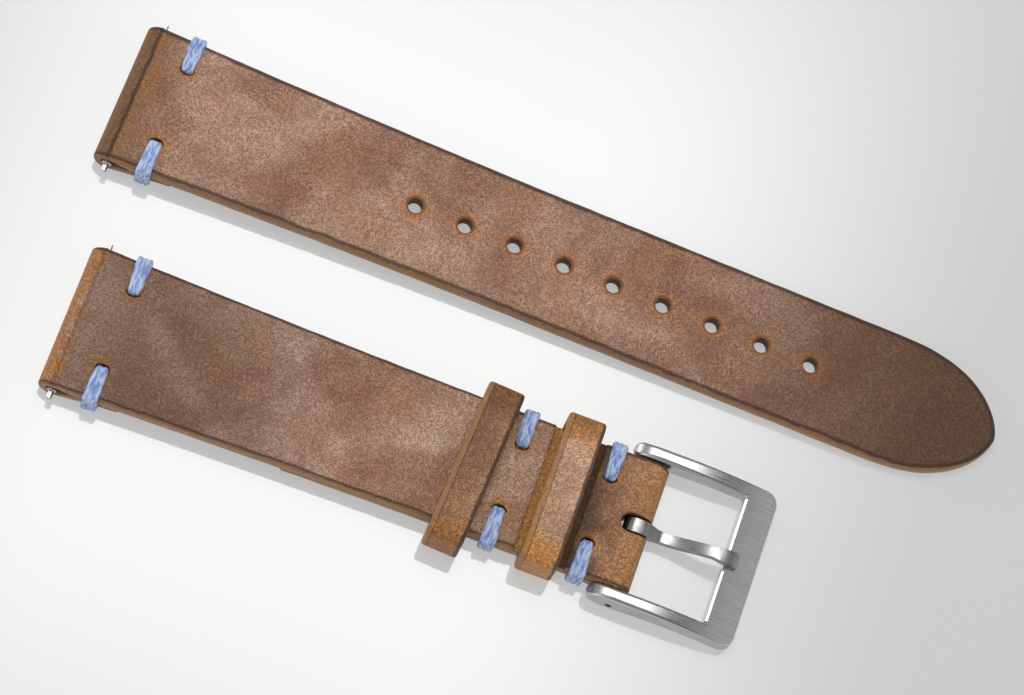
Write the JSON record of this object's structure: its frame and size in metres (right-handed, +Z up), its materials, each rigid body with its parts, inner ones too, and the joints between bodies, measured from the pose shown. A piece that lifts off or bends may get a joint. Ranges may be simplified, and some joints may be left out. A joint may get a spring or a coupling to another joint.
{
  "type": "watch strap",
  "caption": "Two-piece tapered leather strap with spring bars, two keepers, bar-tack stitches and a satin pin buckle.",
  "frame": {"origin": "on the table, under the middle of the box round both pieces at rest", "axes": "+X along the straps from the watch ends towards the buckle and the tip, +Y from the short piece to the long piece, +Z up from the table to the outer face of the leather"},
  "size_m": [0.1227, 0.0544, 0.0073],
  "materials": {
    "leather": "matte",
    "leather_fold": "matte",
    "leather_keeper": "matte",
    "thread": "satin",
    "buckle_steel": "satin",
    "bar_steel": "polished"
  },
  "bodies": {
    "short_piece": {"short_strap": "leather", "buckle_tab": "leather_fold", "fixed_keeper": "leather_keeper", "thread_lug_far": "thread", "thread_lug_near": "thread", "thread_mid_far": "thread", "thread_mid_near": "thread", "thread_end_far": "thread", "thread_end_near": "thread"},
    "long_piece": {"long_strap": "leather", "thread_long_far": "thread", "thread_long_near": "thread"},
    "free_keeper": {"free_keeper": "leather_keeper"},
    "buckle": {"buckle_frame": "buckle_steel"},
    "tongue": {"buckle_tongue": "buckle_steel"},
    "long_bar": {"long_bar_tube": "bar_steel", "long_bar_spring": "bar_steel"},
    "long_bar_tip_far": {"long_bar_tip_far": "bar_steel"},
    "long_bar_tip_near": {"long_bar_tip_near": "bar_steel"},
    "short_bar": {"short_bar_tube": "bar_steel", "short_bar_spring": "bar_steel"},
    "short_bar_tip_far": {"short_bar_tip_far": "bar_steel"},
    "short_bar_tip_near": {"short_bar_tip_near": "bar_steel"},
    "buckle_bar": {"buckle_bar_tube": "bar_steel", "buckle_bar_spring": "bar_steel"},
    "buckle_bar_tip_far": {"buckle_bar_tip_far": "bar_steel"},
    "buckle_bar_tip_near": {"buckle_bar_tip_near": "bar_steel"}
  },
  "joints": [
    {"name": "long_piece_lift_off", "type": "slide", "parent": "short_piece", "child": "long_piece", "axis": [0, 1, 0], "range_m": [0, 0.05]},
    {"name": "free_keeper_slide", "type": "slide", "parent": "short_piece", "child": "free_keeper", "axis": [-0.9998, 0.018, 0], "range_m": [-0.0005, 0.036]},
    {"name": "buckle_hinge", "type": "hinge", "parent": "short_piece", "child": "buckle", "pos_m": [0.02047, -0.01528, 0.00195], "axis": [0, -1, 0], "range_deg": [-60, 20]},
    {"name": "tongue_hinge", "type": "hinge", "parent": "buckle", "child": "tongue", "pos_m": [0.02047, -0.01528, 0.00195], "axis": [0, -1, 0], "range_deg": [0, 70]},
    {"name": "long_bar_spin", "type": "hinge", "parent": "long_piece", "child": "long_bar", "pos_m": [-0.05919, 0.0161, 0.00195], "axis": [0.0194, 0.9998, 0], "continuous": true},
    {"name": "long_bar_tip_far_press", "type": "slide", "parent": "long_bar", "child": "long_bar_tip_far", "axis": [-0.0194, -0.9998, 0], "range_m": [0, 0.0012], "stiffness_N_per_m": 500, "springref_m": -0.001, "deforming": ["long_bar_spring"]},
    {"name": "long_bar_tip_near_press", "type": "slide", "parent": "long_bar", "child": "long_bar_tip_near", "axis": [0.0194, 0.9998, 0], "range_m": [0, 0.0012], "stiffness_N_per_m": 500, "springref_m": -0.001, "deforming": ["long_bar_spring"]},
    {"name": "short_bar_spin", "type": "hinge", "parent": "short_piece", "child": "short_bar", "pos_m": [-0.05488, -0.01528, 0.00195], "axis": [0, 1, 0], "continuous": true},
    {"name": "short_bar_tip_far_press", "type": "slide", "parent": "short_bar", "child": "short_bar_tip_far", "axis": [0, -1, 0], "range_m": [0, 0.0012], "stiffness_N_per_m": 500, "springref_m": -0.001, "deforming": ["short_bar_spring"]},
    {"name": "short_bar_tip_near_press", "type": "slide", "parent": "short_bar", "child": "short_bar_tip_near", "axis": [0, 1, 0], "range_m": [0, 0.0012], "stiffness_N_per_m": 500, "springref_m": -0.001, "deforming": ["short_bar_spring"]},
    {"name": "buckle_bar_spin", "type": "hinge", "parent": "short_piece", "child": "buckle_bar", "pos_m": [0.02047, -0.01528, 0.00195], "axis": [0, 1, 0], "continuous": true},
    {"name": "buckle_bar_tip_far_press", "type": "slide", "parent": "buckle_bar", "child": "buckle_bar_tip_far", "axis": [0, -1, 0], "range_m": [0, 0.0012], "stiffness_N_per_m": 500, "springref_m": -0.001, "deforming": ["buckle_bar_spring"]},
    {"name": "buckle_bar_tip_near_press", "type": "slide", "parent": "buckle_bar", "child": "buckle_bar_tip_near", "axis": [0, 1, 0], "range_m": [0, 0.0012], "stiffness_N_per_m": 500, "springref_m": -0.001, "deforming": ["buckle_bar_spring"]}
  ]
}
